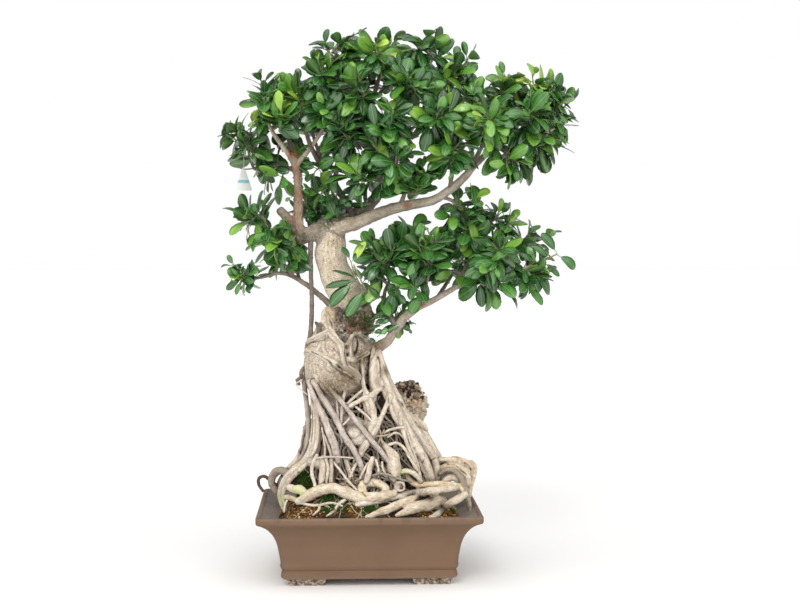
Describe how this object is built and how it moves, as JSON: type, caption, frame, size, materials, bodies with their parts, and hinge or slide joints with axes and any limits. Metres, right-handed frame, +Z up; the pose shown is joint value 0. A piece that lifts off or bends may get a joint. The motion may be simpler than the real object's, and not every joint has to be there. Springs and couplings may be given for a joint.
{
  "type": "potted ficus bonsai",
  "caption": "Ficus bonsai on arching exposed roots, with a leaning trunk and leafy pads on long limbs, in a rectangular unglazed clay pot.",
  "frame": {"origin": "on the table, at the middle of the whole object's outline seen from above; the pot's middle lies a little to -X of it, because the crown leans to +X", "axes": "+Z up; +X to the right and -Y towards the viewer when the object is seen from the front of the pot"},
  "size_m": [0.6596, 0.3134, 1.0039],
  "materials": {
    "clay": "matte",
    "soil": "matte",
    "screen": "matte",
    "bark": "matte",
    "leaf": "satin",
    "card": "satin"
  },
  "bodies": {
    "root": {"pot": "clay", "soil": "soil", "drain_screen_left": "screen", "drain_screen_right": "screen", "wood": "bark", "hang_tag": "card", "crown_left_spray_1": "leaf", "crown_left_spray_2": "leaf", "crown_left_spray_3": "leaf", "crown_left_spray_4": "leaf", "crown_left_spray_5": "leaf", "crown_left_spray_6": "leaf", "crown_left_spray_7": "leaf", "crown_top_spray_1": "leaf", "crown_top_spray_2": "leaf", "crown_top_spray_3": "leaf", "crown_top_spray_4": "leaf", "crown_top_spray_5": "leaf", "crown_top_spray_6": "leaf", "crown_top_spray_7": "leaf", "crown_top_spray_8": "leaf", "crown_top_spray_9": "leaf", "crown_right_spray_1": "leaf", "crown_right_spray_2": "leaf", "crown_right_spray_3": "leaf", "crown_right_spray_4": "leaf", "crown_right_spray_5": "leaf", "crown_right_spray_6": "leaf", "crown_right_spray_7": "leaf", "crown_right_spray_8": "leaf", "crown_right_spray_9": "leaf", "crown_front_spray_1": "leaf", "crown_front_spray_2": "leaf", "crown_front_spray_3": "leaf", "crown_front_spray_4": "leaf", "crown_front_spray_5": "leaf", "crown_front_spray_6": "leaf", "crown_front_spray_7": "leaf", "crown_back_spray_1": "leaf", "crown_back_spray_2": "leaf", "crown_back_spray_3": "leaf", "low_right_spray_1": "leaf", "low_right_spray_2": "leaf", "low_right_spray_3": "leaf", "low_right_spray_4": "leaf", "low_right_spray_5": "leaf", "low_right_spray_6": "leaf", "low_right_spray_7": "leaf", "low_right_spray_8": "leaf", "low_right_spray_9": "leaf", "low_right_spray_10": "leaf", "low_right_spray_11": "leaf", "low_right_spray_12": "leaf", "low_right_spray_13": "leaf", "low_right_spray_14": "leaf", "low_left_spray_1": "leaf", "low_left_spray_2": "leaf", "low_left_spray_3": "leaf", "low_left_spray_4": "leaf", "low_left_spray_5": "leaf"}
  },
  "joints": []
}
